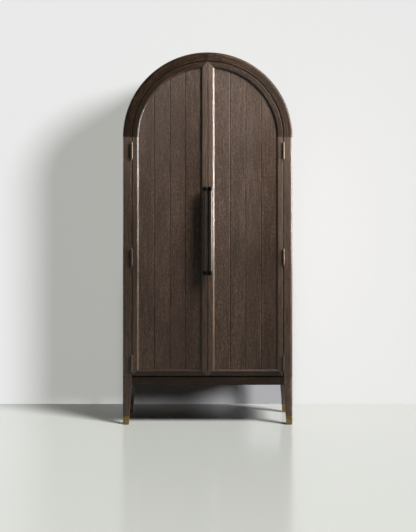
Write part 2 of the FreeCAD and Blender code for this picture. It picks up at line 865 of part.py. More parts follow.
# The meeting stile also has the two holes of the pull's studs.
pull_x = f"(-{centre_gap} - pull_inset)"
post_heights = [
    f"(pull_centre_height {side} (pull_length - pull_collar_height) / 2)" for side in ("-", "+")
]
meeting_stile = new_body("MeetingStile")
meeting_section = frame_section(door_inside, "-", "meeting_back_bevel")
pad(meeting_stile, "XY", door_foot, crown_outer[1], meeting_section)
cut_mitre(meeting_stile, middle_foot_mitre, waste_of_stile)
cut_mitre(meeting_stile, crown_mitre, waste_of_stile)
stud_holes = [(pull_x, height, "pull_stud_radius + fit") for height in post_heights]
pocket(
    meeting_stile, "XZ", f"{front} - overrun", f"{door_back} + overrun", circles=stud_holes
)
keep_both_sides("left_door_meeting_stile", meeting_stile)

bottom_rail = new_body("BottomRail")
rail_section = [(y, z) for z, y in frame_section(door_foot, "+")]
pad(bottom_rail, "YZ", door_outside, door_inside, rail_section)
cut_mitre(bottom_rail, outer_foot_mitre, waste_of_rail)
cut_mitre(bottom_rail, middle_foot_mitre, waste_of_rail)
keep_both_sides("left_door_bottom_rail", bottom_rail)

arch_rail = new_body("ArchRail")
arch_rail_section = [(y, r) for r, y in frame_section(door_radius, "-")]
revolve_about_spring(arch_rail, arch_rail_section, QUARTER_TURN)
ease_joints(arch_rail, "spring_height")
cut_mitre(arch_rail, crown_mitre, waste_of_arch)
keep_both_sides("left_door_arch_rail", arch_rail)

# Panel boards, tongued into each other and held loose in the groove round the frame.
field_radius = f"({panel_radius} + board_engagement)"
field_foot = f"({panel_foot} - board_engagement)"
field_left = f"({panel_outside} - board_engagement)"
field_right = f"({panel_inside} + board_engagement)"
board_front = f"({groove_front} + board_play / 2)"
board_back = f"({board_front} + board_thickness)"
tongue_middle = f"(({board_front} + {board_back}) / 2)"
board_pitch = f"(({panel_inside} - {panel_outside}) / {BOARDS_PER_DOOR})"


def board_section(number):
    """One board in plan: grooved on its left, tongued on its right, with a bevel at each joint."""
    joint_left = f"({panel_outside} + {number - 1} * {board_pitch} + board_gap / 2)"
    joint_right = f"({panel_outside} + {number} * {board_pitch} - board_gap / 2)"
    if number == 1:
        left = [(field_left, board_back), (field_left, board_front)]
    else:
        deep = f"{joint_left} + tongue_length + board_gap"
        left = [
            (joint_left, board_back),
            (joint_left, f"{tongue_middle} + tongue_thickness / 2 + fit"),
            (deep, f"{tongue_middle} + tongue_thickness / 2 + fit"),
            (deep, f"{tongue_middle} - tongue_thickness / 2 - fit"),
            (joint_left, f"{tongue_middle} - tongue_thickness / 2 - fit"),
            (joint_left, f"{board_front} + board_bevel"),
            (f"{joint_left} + board_bevel", board_front),
        ]
    if number == BOARDS_PER_DOOR:
        right = [(field_right, board_front), (field_right, board_back)]
    else:
        tip = f"{joint_right} + tongue_length"
        right = [
            (f"{joint_right} - board_bevel", board_front),
            (joint_right, f"{board_front} + board_bevel"),
            (joint_right, f"{tongue_middle} - tongue_thickness / 2"),
            (tip, f"{tongue_middle} - tongue_thickness / 2"),
            (tip, f"{tongue_middle} + tongue_thickness / 2"),
            (joint_right, f"{tongue_middle} + tongue_thickness / 2"),
            (joint_right, board_back),
        ]
    return left + right


field_below = box(
    "FieldBelow",
    (field_left, field_right),
    (front, door_back),
    (field_foot, "spring_height"),
)
field_arch = rod(
    "FieldArch",
    "Cylinder",
    ("0", front, "spring_height"),
    "door_thickness",
    axis="Y",
    Radius=field_radius,
)
field = fuse("PanelField", field_below, field_arch)
for number in range(1, BOARDS_PER_DOOR + 1):
    board = new_body(f"Board{number}")
    head_height = f"spring_height + {field_radius}"
    pad(board, "XY", field_foot, head_height, board_section(number))
    shaped = common(f"ShapedBoard{number}", board, field)
    keep_both_sides(f"left_door_board_{number}", shaped)


# Butt hinges: three to a door. The case's leaf has the odd knuckles, the door's leaf the even.
knuckle_length = f"((hinge_height - {KNUCKLES - 1} * knuckle_play) / {KNUCKLES})"


def hinge_leaf(name, height, leaf_x, knuckle_numbers):
    """A plate let into a stile's edge, with its share of the knuckles along the pin."""
    low = f"({height} - {half_hinge})"
    high = f"({height} + {half_hinge})"
    pieces = [box(name + "Plate", leaf_x, (front, leaf_back), (low, high))]
    for number in knuckle_numbers:
        knuckle_foot = f"({low} + {number} * ({knuckle_length} + knuckle_play))"
        knuckle_head = f"{knuckle_foot} + {knuckle_length}"
        span = (hinge_axis_y, front)
        pieces.append(box(f"{name}Neck{number}", leaf_x, span, (knuckle_foot, knuckle_head)))
        start = (hinge_axis_x, hinge_axis_y, knuckle_foot)
        pieces.append(
            rod(f"{name}Knuckle{number}", "Cylinder", start, knuckle_length, Radius="barrel_radius")
        )
    bore = rod(
        name + "Bore",
        "Cylinder",
        (hinge_axis_x, hinge_axis_y, f"{low} - overrun"),
        "hinge_height + 2 * overrun",
        Radius="hinge_pin_radius + hinge_pin_play",
    )
    return cut(name, fuse(name + "Whole", *pieces), bore)


def screw(name, height, faces_right, play="0"):
    """A countersunk wood screw along X, or with play the hole that it passes through."""
    shank = f"screw_radius + {play}"
    head = f"screw_head_radius + {play}"
    reach = "screw_length - screw_head_depth"
    if faces_right:
        shank_start = f"{frame_leaf_x[1]} - screw_length"
        head_start = f"{frame_leaf_x[1]} - screw_head_depth"
        low_radius, high_radius = shank, head
    else:
        shank_start = f"{door_leaf_x[0]} + screw_head_depth"
        head_start = door_leaf_x[0]
        low_radius, high_radius = head, shank
    at_shank = (shank_start, screw_y, height)
    narrow = rod(name + "Shank", "Cylinder", at_shank, reach, "X", Radius=shank)
    wide = rod(
        name + "Head",
        "Cone",
        (head_start, screw_y, height),
        "screw_head_depth",
        "X",
        Radius1=low_radius,
        Radius2=high_radius,
    )
    return fuse(name, narrow, wide)


def hinge_set(side, leaf_x, knuckle_numbers, faces_right):
    """The three leaves of one stile and their nine screws."""
    leaves, holes, screws = [], [], []
    for i, z in enumerate(hinge_heights):
        leaves.append(hinge_leaf(f"{side}Leaf{i}", z, leaf_x, knuckle_numbers))
    for i, z in enumerate(screw_heights):
        holes.append(screw(f"{side}ScrewHole{i}", z, faces_right, "screw_play"))
        screws.append(screw(f"{side}Screw{i}", z, faces_right))
    all_holes = group(side + "ScrewHoles", holes)
    drilled = cut(side + "Leaves", group(side + "PlainLeaves", leaves), all_holes)
    return drilled, group(side + "Screws", screws)


case_leaves, case_screws = hinge_set("Case", frame_leaf_x, range(0, KNUCKLES, 2), True)
door_leaves, door_screws = hinge_set("Door", door_leaf_x, range(1, KNUCKLES, 2), False)
keep("case_hinge_leaves", both_sides("CaseHingeLeaves", case_leaves))
keep("case_hinge_screws", both_sides("CaseHingeScrews", case_screws))
keep_both_sides("left_door_hinge_leaves", door_leaves)
keep_both_sides("left_door_hinge_screws", door_screws)


def hinge_pin(name, height):
    """A pin with a button at each end, just clear of the end knuckles."""
    low = f"({height} - {half_hinge} - knuckle_play)"
    shank_length = "hinge_height + 2 * knuckle_play"

    def turned(part, foot, length, radius):
        return rod(name + part, "Cylinder", (hinge_axis_x, hinge_axis_y, foot), length, Radius=radius)

    tip = ("hinge_pin_tip_height", "hinge_pin_tip_radius")
    shank = turned("Shank", low, shank_length, "hinge_pin_radius")
    low_tip = turned("LowTip", f"{low} - hinge_pin_tip_height", *tip)
    high_tip = turned("HighTip", f"{low} + {shank_length}", *tip)
    return fuse(name, shank, low_tip, high_tip)


left_hinge_pins = [hinge_pin(f"HingePin{i}", z) for i, z in enumerate(hinge_heights)]
keep("hinge_pins", both_sides("HingePins", group("LeftHingePins", left_hinge_pins)))

# Pulls: a turned bar with a collar at each end, on two posts whose studs pass through the stile.
bar_y = f"({front} - pull_stand_off)"
pull_low = "(pull_centre_height - pull_length / 2)"
pull_high = "(pull_centre_height + pull_length / 2)"


def pull_bar():
    """Half of the bar's outline, turned about the bar's own axis."""
    body = new_body("PullBar")
    sketch = body.newObject("Sketcher::SketchObject", "PullBarSketch")
    support = next(o for o in body.Origin.OriginFeatures if o.Role == "XZ_Plane")
    sketch.AttachmentSupport = [(support, "")]
    sketch.MapMode = "FlatFace"
    bind(
        sketch,
        AttachmentOffset__Base__x=pull_x,
        AttachmentOffset__Base__z=f"-({bar_y})",
    )
    collar_low = f"{pull_low} + pull_collar_height"
    collar_high = f"{pull_high} - pull_collar_height"
    tip = "pull_collar_radius - pull_collar_cap"
    half = [
        ("0", pull_low),
        (tip, pull_low),
        ("pull_collar_radius", f"{pull_low} + pull_collar_cap"),
        ("pull_collar_radius", f"{collar_low} - small_arris"),
        ("pull_bar_radius", collar_low),
        ("pull_bar_radius", collar_high),
        ("pull_collar_radius", f"{collar_high} + small_arris"),
        ("pull_collar_radius", f"{pull_high} - pull_collar_cap"),
        (tip, pull_high),
        ("0", pull_high),
    ]
    draw_outline(sketch, half)
    turned = body.newObject("PartDesign::Revolution", "PullBarTurned")
    turned.Profile = sketch
    turned.ReferenceAxis = (sketch, ["V_Axis"])
    turned.Angle = 2 * HALF_TURN
    body.Tip = turned
    sockets = [(pull_x, height, "pull_post_radius + pull_fit") for height in post_heights]
    pocket(body, "XZ", bar_y, f"{bar_y} + pull_collar_radius + overrun", circles=sockets)
    return body


def pull_post(name, height):
    """A post seated in the bar, with its rosette on the stile, a stud through it and a nut."""

    def round_part(part, start, length, radius):
        return rod(name + part, "Cylinder", (pull_x, start, height), length, "Y", Radius=radius)

    seat = f"({bar_y} + pull_fit)"
    post = round_part("Post", seat, f"{front} - {seat}", "pull_post_radius")
    rosette_front = f"{front} - rosette_thickness"
    rosette = round_part("Rosette", rosette_front, "rosette_thickness", "rosette_radius")
    thread = "(pull_nut_height - pull_nut_cap)"
    stud = round_part("Stud", front, f"door_thickness + {thread}", "pull_stud_radius")
    nut_block = round_part("NutBlock", door_back, "pull_nut_height", "pull_nut_radius")
    bore_start = f"{door_back} - overrun"
    bore_length = f"overrun + {thread} + pull_fit"
    nut_bore = round_part("NutBore", bore_start, bore_length, "pull_stud_radius + pull_fit")
    return [fuse(name, post, rosette, stud), cut(name + "Nut", nut_block, nut_bore)]


keep_both_sides("left_pull_bar", pull_bar())
post_pieces = pull_post("PullLow", post_heights[0]) + pull_post("PullHigh", post_heights[1])
keep_both_sides("left_pull_posts", group("PullPosts", post_pieces))


# Strike plates on the door's back, opposite the magnets.
def strike(name, height):
    return box(
        name,
        (f"-{magnet_x} - strike_width / 2", f"-{magnet_x} + strike_width / 2"),
        (door_back, f"{door_back} + strike_thickness"),
        (f"{height} - strike_height / 2", f"{height} + strike_height / 2"),
    )


strikes = [strike("FloorStrike", floor_magnet_z), strike("CrownStrike", crown_magnet_z)]
keep_both_sides("left_door_strikes", group("Strikes", strikes))

# Every object has to be sound before any piece is written.
doc.recompute()
for thing in doc.Objects:
    if {"Invalid", "Error"} & set(thing.State):
        raise RuntimeError(f"{thing.Name} ({thing.Label}) could not be made")
for name, piece in nodes.items():
    if piece.Shape.isNull() or not piece.Shape.isValid() or not piece.Shape.Solids:
        raise RuntimeError(f"{name} has no sound shape")
os.makedirs("parts", exist_ok=True)
for name, piece in nodes.items():
    piece.Shape.exportStep(f"parts/{name}.step")
whole = FreeCAD.BoundBox()
for piece in nodes.values():
    whole.add(piece.Shape.optimalBoundingBox(False, False))
print(f"{len(nodes)} nodes, {sum(len(p.Shape.Solids) for p in nodes.values())} solids")
print(f"x {whole.XMin:.2f} to {whole.XMax:.2f}, y {whole.YMin:.2f} to {whole.YMax:.2f}")
print(f"z {whole.ZMin:.2f} to {whole.ZMax:.2f}")
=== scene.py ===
import math

import bpy
import numpy as np
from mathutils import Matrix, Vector


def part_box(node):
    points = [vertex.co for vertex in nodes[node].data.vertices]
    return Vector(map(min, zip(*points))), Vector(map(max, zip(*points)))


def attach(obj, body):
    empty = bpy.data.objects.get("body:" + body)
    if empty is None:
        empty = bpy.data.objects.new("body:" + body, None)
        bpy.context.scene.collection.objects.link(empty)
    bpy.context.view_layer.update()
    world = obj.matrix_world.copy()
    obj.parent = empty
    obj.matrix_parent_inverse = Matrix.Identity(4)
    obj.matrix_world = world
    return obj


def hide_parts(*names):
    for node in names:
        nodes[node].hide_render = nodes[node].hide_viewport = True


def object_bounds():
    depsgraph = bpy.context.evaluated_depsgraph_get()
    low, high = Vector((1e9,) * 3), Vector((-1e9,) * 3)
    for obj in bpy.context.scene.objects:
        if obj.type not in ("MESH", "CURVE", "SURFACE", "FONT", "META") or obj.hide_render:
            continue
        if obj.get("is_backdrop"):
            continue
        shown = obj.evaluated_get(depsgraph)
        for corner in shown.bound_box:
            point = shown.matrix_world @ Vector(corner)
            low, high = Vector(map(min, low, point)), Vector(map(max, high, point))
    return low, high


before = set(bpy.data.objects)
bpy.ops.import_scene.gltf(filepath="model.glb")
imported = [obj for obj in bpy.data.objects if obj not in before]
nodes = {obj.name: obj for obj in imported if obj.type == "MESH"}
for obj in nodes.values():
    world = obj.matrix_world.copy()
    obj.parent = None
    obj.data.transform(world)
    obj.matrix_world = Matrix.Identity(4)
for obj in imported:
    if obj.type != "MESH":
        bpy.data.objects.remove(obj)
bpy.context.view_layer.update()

# Legs: solid oak posts, sawn and planed, tapered on their two inner faces below the apron. Like all
# the cabinet's oak they are wire-brushed along the grain, so that its soft bands sink and break up
# the shine into short dashes, then stained a dark brown and sealed with a thin satin lacquer.
MM = 0.001
ARCH_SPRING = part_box("left_case_stile")[1].z
RUN_AXES = {"x": (2, 1, 0), "y": (0, 2, 1), "z": (0, 1, 2)}  # across, into and along each run of grain
# The log's pith lies aside from a quartered board, and close behind a plain-sawn one.
PITH_ASIDE, PITH_ASIDE_PLAIN_SHARE = (160 * MM, 300 * MM), 1 / 6
PITH_DEEP, PITH_DEEP_PLAIN = (20 * MM, 60 * MM), (100 * MM, 200 * MM)
LOG_LENGTH = 9.0
RING_SPACING, RING_BEND = 5.5 * MM, 22 * MM
EARLY_WOOD_SHARE = 0.55
# The oak's own pores are 0.3 mm wide, too fine to show here, so they are drawn as wide as 1.6 mm,
# and the brushed dashes, 1 to 2 mm wide in fact, are drawn 7 mm wide.
GRAIN_LAYERS = {  # width across the grain, length along it, and how many finer sizes are added
    "streaks": (5 * MM, 120 * MM, 3.0),
    "dashes": (7 * MM, 15 * MM, 2.0),
    "stain": (70 * MM, 420 * MM, 2.0),
    "wander": (45 * MM, 380 * MM, 3.0),
    "pores": (1.6 * MM, 14 * MM, 1.0),
}
PORE_BEGINS, PORE_OPEN = 0.56, 0.68
TONE_START, TONE_SPREAD = -1.0, 0.07
TONE_SHARES = {"streaks": 1.1, "dashes": 1.3, "stain": 0.6, "early": -0.2, "open": -0.3}
RELIEF_SHARES = {"streaks": 0.3 * MM, "dashes": 1.2 * MM, "early": -0.12 * MM, "open": -0.25 * MM}
ROUGHNESS_SHARES = {"dashes": -0.6, "streaks": -0.1, "open": 0.15}
# A board's long edges are painted lighter, a painted highlight that softens the grooves' dark.
EDGE_HIGHLIGHT_SHARE, EDGE_HIGHLIGHT_BEGINS, EDGE_HIGHLIGHT_FULL = 0.35, 4 * MM, 1 * MM
OAK_FRAME = ("#31251c", "#594638", "#816a59")
OAK_LACQUER, OAK_FIBRE_SHEEN, OAK_ROUGHNESS = 0.58, 0.7, 0.68
EASED_EDGE = 0.8 * MM
SAME_POINT, FLAT_DEGREES, SHARP_DEGREES = 0.001 * MM, 0.2, 28
rng = np.random.default_rng(11)


def linear(colour):
    """An sRGB hex colour as linear light, with alpha, by the sRGB curve."""
    shares = [int(colour[i : i + 2], 16) / 255 for i in (1, 3, 5)]
    curve = [s / 12.92 if s <= 0.04045 else ((s + 0.055) / 1.055) ** 2.4 for s in shares]
    return (*curve, 1)


def add(material, kind, inputs=None, **settings):
    """Adds a shader node. Each input is a value, a socket, or a node whose first live output
    feeds it."""
    node = material.node_tree.nodes.new("ShaderNode" + kind)
    for name, setting in settings.items():
        setattr(node, name, setting)
    for place, given in (inputs or {}).items():
        if isinstance(place, int):
            socket = node.inputs[place]
        else:
            socket = next(s for s in node.inputs if s.enabled and s.name == place)
        if isinstance(given, bpy.types.Node):
            given = next(s for s in given.outputs if s.enabled)
        if isinstance(given, bpy.types.NodeSocket):
            material.node_tree.links.new(given, socket)
        else:
            socket.default_value = given
    return node


def empty_material(name):
    """A material with no nodes yet."""
    material = bpy.data.materials.new(name)
    material.use_nodes = True
    material.node_tree.nodes.clear()
    return material


def surface(material, sockets):
    """Gives a material its Principled shader, with the sockets set or linked as given."""
    shader = add(material, "BsdfPrincipled", sockets)
    add(material, "OutputMaterial", {"Surface": shader})
    return material


def total(material, layers, shares, start):
    """The sum of start and of each named layer times its share."""
    for layer, share in shares.items():
        sockets = {0: layers[layer], 1: share, 2: start}
        start = add(material, "Math", sockets, operation="MULTIPLY_ADD")
    return start


def along_grain(material, run, centre, pith):
    """Object coordinates from the log's pith, with the grain along Z, and the grain's direction. On an
    arch, the place along the grain is the angle from the crown times the arch's radius, the place
    across it is the radius, and the grain is square to the line from the arch's middle."""
    place = add(material, "SeparateXYZ", {0: add(material, "TexCoord").outputs["Object"]}).outputs
    if run == "arch":
        height = add(material, "Math", {0: place[2], 1: ARCH_SPRING}, operation="SUBTRACT")
        plane = add(material, "CombineXYZ", {0: place[0], 1: height})
        radius = add(material, "VectorMath", {0: plane}, operation="LENGTH").outputs["Value"]
        turn = add(material, "Math", {0: place[0], 1: height}, operation="ARCTAN2")
        length = add(material, "Math", {0: turn, 1: centre[0]}, operation="MULTIPLY")
        order = (radius, place[1], length)
        back = add(material, "Math", {0: 0.0, 1: place[0]}, operation="SUBTRACT")
        fibre = add(material, "CombineXYZ", {0: height, 2: back})
    else:
        order = [place[axis] for axis in RUN_AXES[run]]
        fibre = [float(axis == RUN_AXES[run][2]) for axis in range(3)]
    turned = add(material, "CombineXYZ", dict(enumerate(order)))
    shift = [p - c for p, c in zip(pith, centre)]
    settings = {"vector_type": "VECTOR", "convert_from": "OBJECT", "convert_to": "WORLD"}
    direction = add(material, "VectorTransform", {"Vector": fibre}, **settings)
    return add(material, "Mapping", {"Vector": turned, "Location": shift}), direction


def stained_oak(name, run, centre, colours, brushed=1.0, quartered=True, lacquer=OAK_LACQUER,
                fibre_sheen=OAK_FIBRE_SHEEN, roughness=OAK_ROUGHNESS, rubbed=None):
    """Oak for one board: growth rings are its distance from the pith over their spacing, bent by slow
    noise; streaks, dashes, pores and stain are noise drawn out along the grain. Brushed scales the
    relief, lacquer is how strongly the face mirrors, and the fibres draw that shine out across the
    grain. A board with a painted highlight along its long edges gives the half width of the board
    for it."""
    material = empty_material(name)
    aside = rng.uniform(*PITH_ASIDE) * rng.choice([-1, 1])
    if not quartered:
        aside *= PITH_ASIDE_PLAIN_SHARE
    deep = rng.uniform(*(PITH_DEEP if quartered else PITH_DEEP_PLAIN))
    pith = (aside, deep, rng.uniform(0, LOG_LENGTH))
    grain, direction = along_grain(material, run, centre, pith)
    layers = {}
    for layer, (width, length, finer) in GRAIN_LAYERS.items():
        sockets = {"Vector": grain, "Scale": (1 / width, 1 / width, 1 / length)}
        sized = add(material, "Mapping", sockets)
        layers[layer] = add(material, "TexNoise", {"Vector": sized, "Scale": 1.0, "Detail": finer})

    across = add(material, "VectorMath", {0: grain, 1: (1, 1, 0)}, operation="MULTIPLY")
    from_pith = add(material, "VectorMath", {0: across}, operation="LENGTH").outputs["Value"]
    sockets = {0: layers["wander"], 1: RING_BEND, 2: from_pith}
    bent = add(material, "Math", sockets, operation="MULTIPLY_ADD")
    counted = add(material, "Math", {0: bent, 1: RING_SPACING}, operation="DIVIDE")
    ring = add(material, "Math", {0: counted}, operation="FRACT")
    sockets = {"Value": ring, "From Max": EARLY_WOOD_SHARE, "To Min": 1.0, "To Max": 0.0}
    layers["early"] = add(material, "MapRange", sockets, interpolation_type="SMOOTHSTEP")
    sockets = {"Value": layers["pores"], "From Min": PORE_BEGINS, "From Max": PORE_OPEN}
    layers["open"] = add(material, "MapRange", sockets, interpolation_type="SMOOTHSTEP")

    tone = total(material, layers, TONE_SHARES, TONE_START + rng.uniform(-TONE_SPREAD, TONE_SPREAD))
    # Painted highlight: the board's colour is lightened towards its long edges.
    if rubbed:
        place = add(material, "SeparateXYZ", {0: add(material, "TexCoord").outputs["Object"]})
        offset = add(material, "Math", {0: place.outputs[0], 1: centre[0]}, operation="SUBTRACT")
        off_middle = add(material, "Math", {0: offset}, operation="ABSOLUTE")
        begins, full = rubbed - EDGE_HIGHLIGHT_BEGINS, rubbed - EDGE_HIGHLIGHT_FULL
        sockets = {"Value": off_middle, "From Min": begins, "From Max": full}
        layers["rubbed"] = add(material, "MapRange", sockets, interpolation_type="SMOOTHSTEP")
        tone = total(material, layers, {"rubbed": EDGE_HIGHLIGHT_SHARE}, tone)
    stained = add(material, "ValToRGB", {"Fac": tone})
    stops = stained.color_ramp.elements
    stops[0].color = linear(colours[0])
    stops[1].color = linear(colours[2])
    stops.new(0.5).color = linear(colours[1])

    relief = total(material, layers, RELIEF_SHARES, 0.0)
    return surface(material, {
        "Base Color": stained,
        "Roughness": total(material, layers, ROUGHNESS_SHARES, roughness),
        "Normal": add(material, "Bump", {"Strength": brushed, "Distance": 1.0, "Height": relief}),
        "Specular IOR Level": lacquer,
        "Anisotropic": fibre_sheen,
        "Anisotropic Rotation": 0.25,
        "Tangent": direction,
    })


def finish_node(name, material):
    """Puts a material in every slot of a node."""
    for slot in nodes[name].material_slots:
        slot.material = material


def ease_edges(name, width):
    """Rounds a node's sharp edges, as sanding does, after joining its loose triangles."""
    piece = nodes[name]
    join = piece.modifiers.new("join", "WELD")
    join.merge_threshold = SAME_POINT
    flatten = piece.modifiers.new("flatten", "DECIMATE")
    flatten.decimate_type = "DISSOLVE"
    flatten.angle_limit = math.radians(FLAT_DEGREES)
    edge = piece.modifiers.new("ease", "BEVEL")
    edge.width = width
    edge.segments = 2
    edge.limit_method = "ANGLE"
    edge.angle_limit = math.radians(SHARP_DEGREES)
    edge.harden_normals = True
    edge.use_clamp_overlap = True


def dress_oak(name, run, colours=OAK_FRAME, **look):
    """Gives a node its own board of oak, so that no grain runs on from its neighbour."""
    low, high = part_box(name)
    middle = (low + high) / 2
    if run == "arch":
        centre = (high.z - ARCH_SPRING, middle.y, 0)
    else:
        centre = [middle[axis] for axis in RUN_AXES[run]]
    finish_node(name, stained_oak(f"stained_oak_{name}", run, centre, colours, **look))
    ease_edges(name, EASED_EDGE)


LEGS = [f"{end}_{side}" for end in ("front", "back") for side in ("left", "right")]
for corner in LEGS:
    dress_oak(f"{corner}_leg", "z")

# Foot caps: tapered shells of sheet brass, pressed to shape and pushed over the legs' ends. They
# are brushed round the leg, which draws the shine upright, then left to darken unevenly under a
# clear lacquer. The brush lines, a tenth of a millimetre wide in fact, are drawn 0.45 mm wide.
BRASS_BRIGHT, BRASS_TARNISHED = "#a08557", "#6d5a3b"
BRUSH_LINE, BRUSH_LENGTH = 0.45 * MM, 27 * MM
TARNISH_PATCH = 16 * MM
FINE_RELIEF = 0.05 * MM
CAP_EDGE = 0.4 * MM
brass = empty_material("brushed_aged_brass")
brass_place = add(brass, "TexCoord").outputs["Object"]
sockets = {"Vector": brass_place, "Scale": (1 / BRUSH_LENGTH, 1 / BRUSH_LENGTH, 1 / BRUSH_LINE)}
brush_lines = add(brass, "Mapping", sockets)
brushing = add(brass, "TexNoise", {"Vector": brush_lines, "Scale": 1.0, "Detail": 3.0})
tarnish = add(brass, "TexNoise", {"Vector": brass_place, "Scale": 1 / TARNISH_PATCH, "Detail": 4.0})
patches = add(brass, "MapRange", {"Value": tarnish, "From Min": 0.35, "From Max": 0.7})
sockets = {"Factor": patches, "A": linear(BRASS_BRIGHT), "B": linear(BRASS_TARNISHED)}
brass_colour = add(brass, "Mix", sockets, data_type="RGBA")
sockets = {"Value": brushing, "From Min": 0.3, "From Max": 0.7, "To Min": 0.3, "To Max": 0.46}
brass_roughness = add(brass, "MapRange", sockets)
surface(brass, {
    "Base Color": brass_colour,
    "Metallic": 1.0,
    "Roughness": brass_roughness,
    "Normal": add(brass, "Bump", {"Strength": 0.3, "Distance": FINE_RELIEF, "Height": brushing}),
})
for corner in LEGS:
    finish_node(f"{corner}_foot_cap", brass)
    ease_edges(f"{corner}_foot_cap", CAP_EDGE)

# Glides: discs of black nylon, nailed under the caps and moulded with a fine eroded texture that
# leaves them dull. Its own 0.1 mm specks are too fine to show, so they are drawn 1 mm wide.
NYLON_DARKER, NYLON_LIGHTER = "#161616", "#242424"
NYLON_SPECK = 1 * MM
nylon = empty_material("moulded_black_nylon")
nylon_place = add(nylon, "TexCoord").outputs["Object"]
specks = add(nylon, "TexNoise", {"Vector": nylon_place, "Scale": 1 / NYLON_SPECK})
sockets = {"Factor": specks, "A": linear(NYLON_DARKER), "B": linear(NYLON_LIGHTER)}
surface(nylon, {
    "Base Color": add(nylon, "Mix", sockets, data_type="RGBA"),
    "Roughness": 0.5,
    "Normal": add(nylon, "Bump", {"Strength": 0.3, "Distance": FINE_RELIEF, "Height": specks}),
})
finish_node("foot_glides", nylon)

# Aprons: four rails of oak between the legs, tenoned into them, with their grain lengthwise. The
# pieces whose grain lies level get a darker copy of the oak, painted shade for the side light that
# level grain does not catch.
OAK_LEVEL_SHADED = ("#291f17", "#3c2f25", "#524236")
for name, run in (("front", "x"), ("back", "x"), ("left", "y"), ("right", "y")):
    dress_oak(f"{name}_apron", run, OAK_LEVEL_SHADED, lacquer=0.15)

# Side panels: oak with upright grain, brushed and stained like the legs, standing on the base.
# Their inner faces have rows of holes for the shelf pins and a rabbet for the back.
for side in ("left", "right"):
    dress_oak(f"{side}_side_panel", "z")

# Arched top: one half circle of thin oak laminations, bent and glued over a mould, so its grain
# runs over the top. Like the level rails it gets a darker copy of the oak, painted shade for the
# side light that grain running over the top does not catch.
OAK_BENT_SHADED = ("#19110c", "#34271d", "#574538")
dress_oak("arched_top", "arch", OAK_BENT_SHADED, lacquer=0.12)

# Floor, shelves, anchor rail and stop block: oak veneer on board with lipped edges, plain-sawn and
# stained a little lighter than the outside. They are hardly brushed, so they are almost smooth.
OAK_INSIDE = ("#3a2d23", "#574539", "#705d4e")
SHELVES = [f"shelf_{number}" for number in range(1, 5)]
for name in ("case_floor", *SHELVES, "wall_anchor_rail", "crown_door_stop"):
    dress_oak(name, "x", OAK_INSIDE, brushed=0.3, quartered=False)

# Back panel: oak plywood 9 mm thick, its face veneer upright, screwed into a rabbet. It is stained
# with the inside and left without much lacquer, so that it is nearly matt.
dress_oak("back_panel", "z", OAK_INSIDE, brushed=0.25, quartered=False, lacquer=0.2)

# Face frame: two oak stiles and two quarter arches glued to the case's front. Each arch is bent
# from strips, so its grain follows the curve up to the joint at the crown, and gets the darker
# copy of the oak that paints its shade.
for side in ("left", "right"):
    dress_oak(f"{side}_case_stile", "z")
    dress_oak(f"{side}_case_arch", "arch", OAK_BENT_SHADED, lacquer=0.12)

# Door frames: stiles, rails and arches of solid oak, mitred and glued, moulded with a bevel that
# falls to the panel. The rail and the arch get the darker copies of the oak, painted shade as on
# the case.
for side in ("left", "right"):
    dress_oak(f"{side}_door_hinge_stile", "z")
    dress_oak(f"{side}_door_meeting_stile", "z")
    dress_oak(f"{side}_door_bottom_rail", "x", OAK_LEVEL_SHADED, lacquer=0.25, fibre_sheen=0.3)
    dress_oak(f"{side}_door_arch_rail", "arch", OAK_BENT_SHADED, lacquer=0.3, roughness=0.56)

# Door boards: four tongued oak boards to a door, loose in the frame's groove so that they can
# shrink, each with bevelled edges. Each board is painted lighter towards its long edges, a painted
# highlight that softens the dark of the grooves between boards. They are brushed harder than
# the frame, which leaves them duller.
OAK_BOARDS = ("#35281e", "#523f33", "#796453")
BOARD_LOOK = {"brushed": 1.2, "lacquer": 0.5, "fibre_sheen": 0.5, "roughness": 0.8}
for side in ("left", "right"):
    for number in range(1, 5):
        name = f"{side}_door_board_{number}"
        low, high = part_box(name)
        dress_oak(name, "z", OAK_BOARDS, rubbed=(high.x - low.x) / 2, **BOARD_LOOK)

# Pull bars and posts: bronze-plated brass, turned on a lathe and blackened in a bath, then waxed.
# The collars at the bar's ends are coloured black, darker than the bar's middle. The lathe's
# marks, a tenth of a millimetre apart in fact, are drawn 0.5 mm apart.
pull_low, pull_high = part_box("left_pull_bar")
COLLAR_LENGTH = 24 * MM
PULL_MIDDLE = (pull_low.z + pull_high.z) / 2
COLLARS_BEGIN = (pull_high.z - pull_low.z) / 2 - COLLAR_LENGTH
BRONZE_RUBBED, BRONZE_WORN, BRONZE_BLACK = "#575049", "#433e38", "#1f1c1c"
TURNING_LINE, TURNING_LENGTH = 0.5 * MM, 40 * MM
RUBBED_PATCH = 35 * MM
pulls = empty_material("blackened_turned_bronze")
pull_place = add(pulls, "TexCoord").outputs["Object"]
sockets = {"Vector": pull_place, "Scale": (1 / TURNING_LENGTH, 1 / TURNING_LENGTH, 1 / TURNING_LINE)}
turning_lines = add(pulls, "Mapping", sockets)
turning = add(pulls, "TexNoise", {"Vector": turning_lines, "Scale": 1.0, "Detail": 2.0})
rubbing = add(pulls, "TexNoise", {"Vector": pull_place, "Scale": 1 / RUBBED_PATCH, "Detail": 4.0})
sockets = {"Factor": rubbing, "A": linear(BRONZE_WORN), "B": linear(BRONZE_RUBBED)}
bar_colour = add(pulls, "Mix", sockets, data_type="RGBA")
pull_height = add(pulls, "SeparateXYZ", {0: pull_place}).outputs[2]
from_middle = add(pulls, "Math", {0: pull_height, 1: PULL_MIDDLE}, operation="SUBTRACT")
reach = add(pulls, "Math", {0: from_middle}, operation="ABSOLUTE")
in_collar = add(pulls, "Math", {0: reach, 1: COLLARS_BEGIN}, operation="GREATER_THAN")
sockets = {"Factor": in_collar, "A": bar_colour, "B": linear(BRONZE_BLACK)}
pull_colour = add(pulls, "Mix", sockets, data_type="RGBA")
